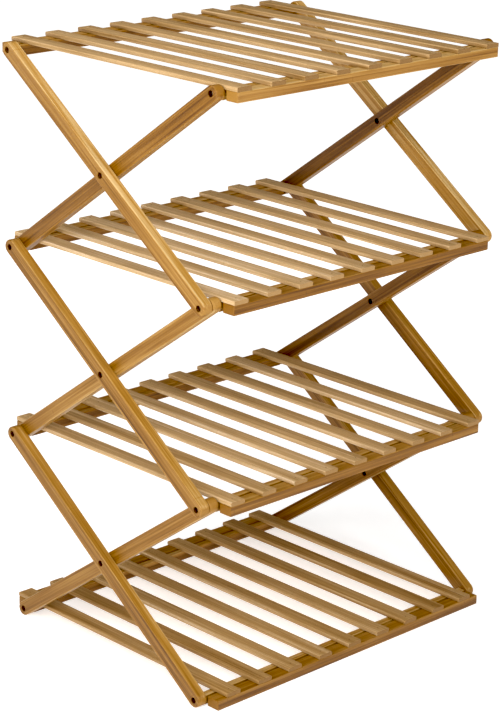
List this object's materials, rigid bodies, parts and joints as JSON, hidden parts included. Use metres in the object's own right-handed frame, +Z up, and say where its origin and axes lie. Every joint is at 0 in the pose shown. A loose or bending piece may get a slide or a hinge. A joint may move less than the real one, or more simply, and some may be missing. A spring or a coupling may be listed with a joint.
{
  "type": "folding slatted rack",
  "caption": "Folding bamboo storage and drying rack: slatted shelves between scissor legs on both sides, pivoting at rear bars and resting on front crossbars.",
  "frame": {"origin": "floor level, in the middle of the footprint of the open rack", "axes": "+X along the rails to the rack's right as seen from the front, +Y along the slats to the rear, +Z up"},
  "size_m": [0.5, 0.399, 0.7535],
  "materials": {
    "leg_bamboo": "golden brown laminated bamboo, satin lacquer",
    "slat_bamboo": "pale honey bamboo, satin lacquer",
    "rail_bamboo": "honey brown bamboo, satin lacquer",
    "screw_steel": "zinc-plated steel, slightly dulled",
    "brad_steel": "plain steel brad heads, slightly darkened"
  },
  "bodies": {
    "rear_floor_pivot": {"shelf_1_rear_pivot_screws": "screw_steel"},
    "lower_inner_legs": {"lower_inner_leg_left": "leg_bamboo", "lower_inner_leg_right": "leg_bamboo", "shelf_2_front_crossbar": "rail_bamboo", "shelf_2_front_pivot_screws": "screw_steel"},
    "lower_outer_legs": {"lower_outer_leg_left": "leg_bamboo", "lower_outer_leg_right": "leg_bamboo", "lower_crossing_bolts": "screw_steel", "lower_crossing_sleeve_nuts": "screw_steel", "shelf_1_front_crossbar": "rail_bamboo", "shelf_1_front_pivot_screws": "screw_steel"},
    "middle_inner_legs": {"middle_inner_leg_left": "leg_bamboo", "middle_inner_leg_right": "leg_bamboo", "shelf_3_front_crossbar": "rail_bamboo", "shelf_3_front_pivot_screws": "screw_steel"},
    "middle_outer_legs": {"middle_outer_leg_left": "leg_bamboo", "middle_outer_leg_right": "leg_bamboo", "middle_crossing_bolts": "screw_steel", "middle_crossing_sleeve_nuts": "screw_steel"},
    "upper_inner_legs": {"upper_inner_leg_left": "leg_bamboo", "upper_inner_leg_right": "leg_bamboo", "shelf_4_front_crossbar": "rail_bamboo", "shelf_4_front_pivot_screws": "screw_steel"},
    "upper_outer_legs": {"upper_outer_leg_left": "leg_bamboo", "upper_outer_leg_right": "leg_bamboo", "upper_crossing_bolts": "screw_steel", "upper_crossing_sleeve_nuts": "screw_steel"},
    "shelf_1": {"shelf_1_slats": "slat_bamboo", "shelf_1_brads": "brad_steel", "shelf_1_front_rail": "rail_bamboo", "shelf_1_rear_rail": "rail_bamboo", "shelf_1_pivot_bar": "rail_bamboo"},
    "shelf_2": {"shelf_2_slats": "slat_bamboo", "shelf_2_brads": "brad_steel", "shelf_2_front_rail": "rail_bamboo", "shelf_2_rear_rail": "rail_bamboo", "shelf_2_pivot_bar": "rail_bamboo", "shelf_2_rear_pivot_screws": "screw_steel"},
    "shelf_3": {"shelf_3_slats": "slat_bamboo", "shelf_3_brads": "brad_steel", "shelf_3_front_rail": "rail_bamboo", "shelf_3_rear_rail": "rail_bamboo", "shelf_3_pivot_bar": "rail_bamboo", "shelf_3_rear_pivot_screws": "screw_steel"},
    "shelf_4": {"shelf_4_slats": "slat_bamboo", "shelf_4_brads": "brad_steel", "shelf_4_front_rail": "rail_bamboo", "shelf_4_rear_rail": "rail_bamboo", "shelf_4_pivot_bar": "rail_bamboo", "shelf_4_rear_pivot_screws": "screw_steel"}
  },
  "joints": [
    {"name": "fold", "type": "hinge", "parent": "rear_floor_pivot", "child": "lower_inner_legs", "pos_m": [0, 0.1715, 0.00925], "axis": [-1, 0, 0], "range_deg": [0, 47.7]},
    {"name": "lower_crossing", "type": "hinge", "parent": "lower_inner_legs", "child": "lower_outer_legs", "pos_m": [0, 0, 0.13175], "axis": [1, 0, 0], "range_deg": [0, 95.5]},
    {"name": "middle_stage_rear_pivot", "type": "hinge", "parent": "lower_outer_legs", "child": "middle_inner_legs", "pos_m": [0, 0.1715, 0.25425], "axis": [-1, 0, 0], "range_deg": [0, 95.5]},
    {"name": "middle_crossing", "type": "hinge", "parent": "middle_inner_legs", "child": "middle_outer_legs", "pos_m": [0, 0, 0.37675], "axis": [1, 0, 0], "range_deg": [0, 95.5]},
    {"name": "upper_stage_rear_pivot", "type": "hinge", "parent": "middle_outer_legs", "child": "upper_inner_legs", "pos_m": [0, 0.1715, 0.49925], "axis": [-1, 0, 0], "range_deg": [0, 95.5]},
    {"name": "upper_crossing", "type": "hinge", "parent": "upper_inner_legs", "child": "upper_outer_legs", "pos_m": [0, 0, 0.62175], "axis": [1, 0, 0], "range_deg": [0, 95.5]},
    {"name": "shelf_1_swing", "type": "hinge", "parent": "rear_floor_pivot", "child": "shelf_1", "pos_m": [0, 0.1715, 0.00925], "axis": [-1, 0, 0], "range_deg": [0, 80.7]},
    {"name": "shelf_2_swing", "type": "hinge", "parent": "middle_inner_legs", "child": "shelf_2", "pos_m": [0, 0.1715, 0.25425], "axis": [-1, 0, 0], "range_deg": [0, 33]},
    {"name": "shelf_3_swing", "type": "hinge", "parent": "upper_inner_legs", "child": "shelf_3", "pos_m": [0, 0.1715, 0.49925], "axis": [-1, 0, 0], "range_deg": [0, 33]},
    {"name": "shelf_4_swing", "type": "hinge", "parent": "upper_outer_legs", "child": "shelf_4", "pos_m": [0, 0.1715, 0.74425], "axis": [-1, 0, 0], "range_deg": [0, 128.4]}
  ],
  "couplings": [
    {"joint": "lower_crossing", "follows": "fold", "ratio": 2},
    {"joint": "middle_stage_rear_pivot", "follows": "fold", "ratio": 2},
    {"joint": "middle_crossing", "follows": "fold", "ratio": 2},
    {"joint": "upper_stage_rear_pivot", "follows": "fold", "ratio": 2},
    {"joint": "upper_crossing", "follows": "fold", "ratio": 2},
    {"joint": "shelf_1_swing", "follows": "fold", "ratio": 1.69},
    {"joint": "shelf_2_swing", "follows": "fold", "ratio": 0.69},
    {"joint": "shelf_3_swing", "follows": "fold", "ratio": 0.69},
    {"joint": "shelf_4_swing", "follows": "fold", "ratio": 2.69}
  ]
}
